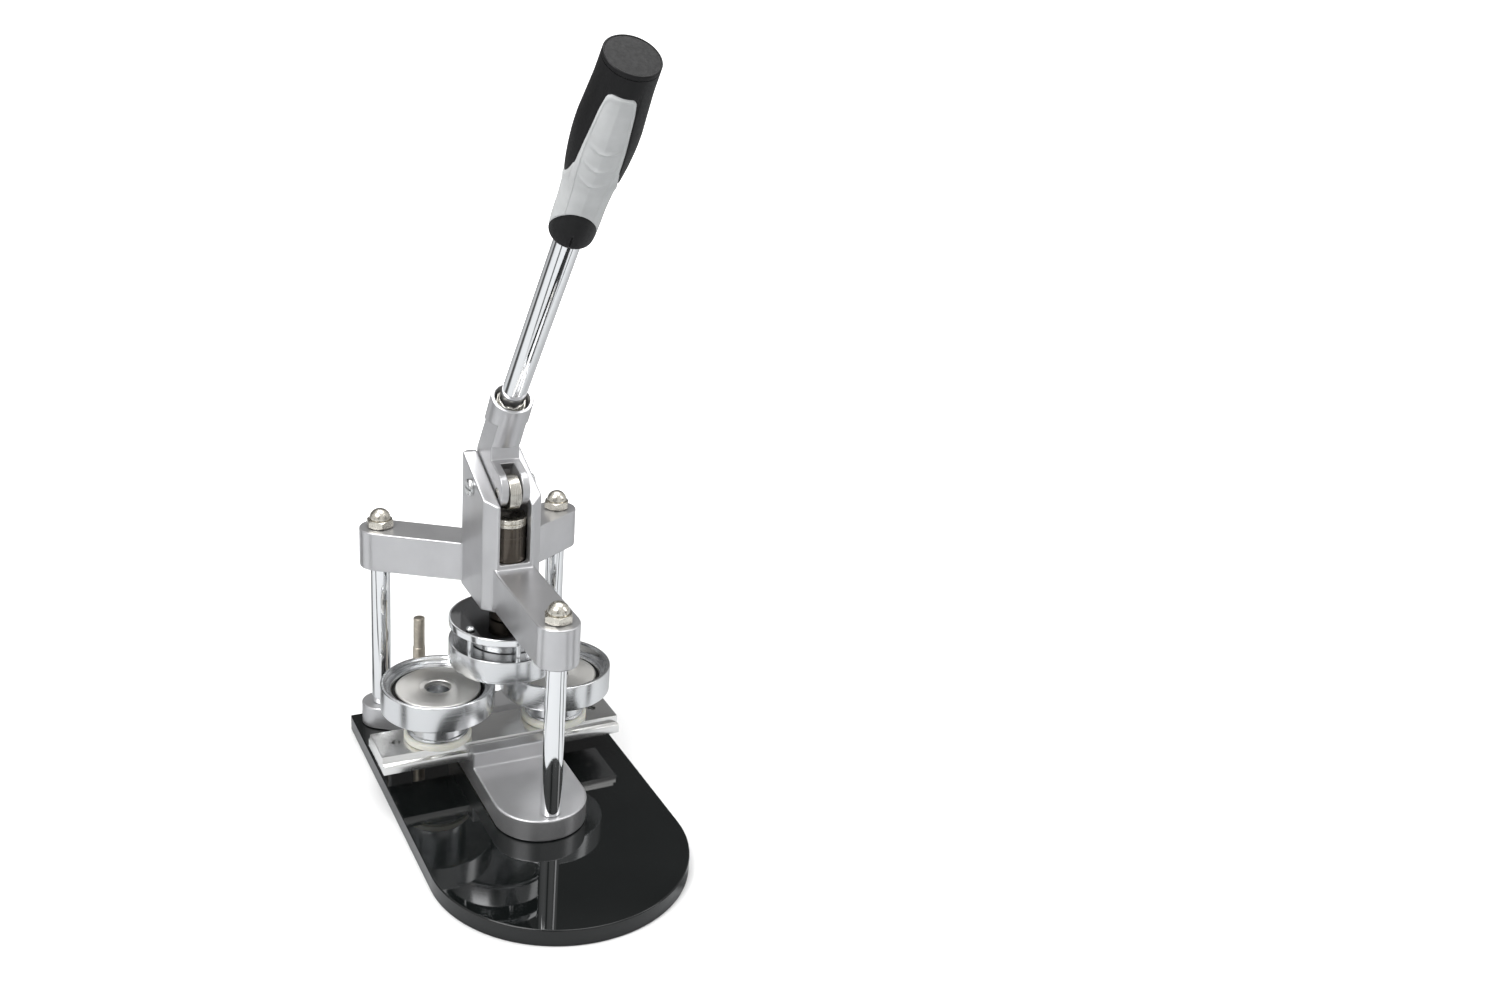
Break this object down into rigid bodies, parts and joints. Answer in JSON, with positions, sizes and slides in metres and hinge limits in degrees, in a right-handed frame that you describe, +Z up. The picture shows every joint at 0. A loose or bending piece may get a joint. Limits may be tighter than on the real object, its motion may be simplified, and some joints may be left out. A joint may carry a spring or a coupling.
{
  "type": "button badge press",
  "caption": "Hand press for round pin badges: a forward-pulled lever drives a ram and ringed upper die onto dies carried by a sliding plate, on a black board.",
  "frame": {"origin": "under the ram's axis, on the flat underside of the base board", "axes": "+Z up along the ram's axis, +X to the operator's right along the sliding plate, -Y towards the operator, where the lever comes down"},
  "size_m": [0.1773, 0.2986, 0.5273],
  "materials": {
    "board_gloss_black": "glossy black sheet with a dark green edge",
    "casting_silver": "satin silver paint on a casting",
    "column_chrome": "bright chrome plate",
    "die_chrome": "bright plated turned steel",
    "die_face_steel": "fine turned steel",
    "nylon_ivory": "ivory nylon",
    "plate_aluminium": "milled and polished",
    "nut_nickel": "warm nickel plate",
    "post_nickel": "dull nickel plate",
    "ram_dark_steel": "dark oiled steel",
    "bearing_steel": "ground bearing steel",
    "screw_zinc": "bright zinc plate",
    "grip_black": "soft black rubber",
    "grip_grey": "soft grey rubber"
  },
  "bodies": {
    "base": {"base_board": "board_gloss_black", "base_casting": "casting_silver", "head_casting": "casting_silver", "column_front": "column_chrome", "column_rear_left": "column_chrome", "column_rear_right": "column_chrome", "cap_nut_front": "nut_nickel", "cap_nut_rear_left": "nut_nickel", "cap_nut_rear_right": "nut_nickel", "pivot_bolt": "screw_zinc", "pivot_cap": "screw_zinc", "rear_post": "post_nickel"},
    "lever": {"lever_hub": "casting_silver", "roller_pin": "bearing_steel", "roller_race": "bearing_steel", "lever_rod": "column_chrome", "lock_ring": "bearing_steel", "grip_collar": "grip_black", "grip_sleeve_grey": "grip_grey", "grip_sleeve_black": "grip_black", "grip_top_disc": "grip_black"},
    "roller": {"roller_ring": "bearing_steel"},
    "ram": {"ram": "ram_dark_steel", "ram_cap": "nut_nickel", "upper_flange": "die_chrome", "upper_core": "die_chrome"},
    "upper_ring": {"upper_ring": "die_chrome", "guide_bolt_1": "die_chrome", "guide_bolt_2": "die_chrome", "guide_bolt_3": "die_chrome", "guide_bolt_4": "die_chrome"},
    "die_plate": {"slide_plate": "plate_aluminium", "nylon_ring_left": "nylon_ivory", "nylon_ring_right": "nylon_ivory", "die_base_left": "die_chrome", "die_base_right": "die_chrome", "die_face_left": "die_face_steel", "die_face_right": "die_face_steel"},
    "die_ring_left": {"die_ring_left": "die_chrome"},
    "die_ring_right": {"die_ring_right": "die_chrome"}
  },
  "joints": [
    {"name": "lever_hinge", "type": "hinge", "parent": "base", "child": "lever", "pos_m": [0, 0.019, 0.218], "axis": [1, 0, 0], "range_deg": [0, 50]},
    {"name": "roller_spin", "type": "hinge", "parent": "lever", "child": "roller", "pos_m": [0, -0.002, 0.2205], "axis": [1, 0, 0], "continuous": true},
    {"name": "ram_slide", "type": "slide", "parent": "base", "child": "ram", "axis": [0, 0, 1], "range_m": [-0.0126, 0.0001]},
    {"name": "upper_ring_float", "type": "slide", "parent": "ram", "child": "upper_ring", "axis": [0, 0, 1], "range_m": [-0.0001, 0.004]},
    {"name": "plate_slide", "type": "slide", "parent": "base", "child": "die_plate", "axis": [1, 0, 0], "range_m": [-0.0376, 0.0482]},
    {"name": "left_ring_press", "type": "slide", "parent": "die_plate", "child": "die_ring_left", "axis": [0, 0, 1], "range_m": [-0.003, 0], "stiffness_N_per_m": 2000, "springref_m": 0.004},
    {"name": "right_ring_press", "type": "slide", "parent": "die_plate", "child": "die_ring_right", "axis": [0, 0, 1], "range_m": [-0.003, 0], "stiffness_N_per_m": 2000, "springref_m": 0.004}
  ],
  "couplings": [
    {"joint": "ram_slide", "follows": "lever_hinge", "m_per_rad": -0.014324},
    {"joint": "upper_ring_float", "follows": "lever_hinge", "m_per_rad": 0.004469}
  ]
}
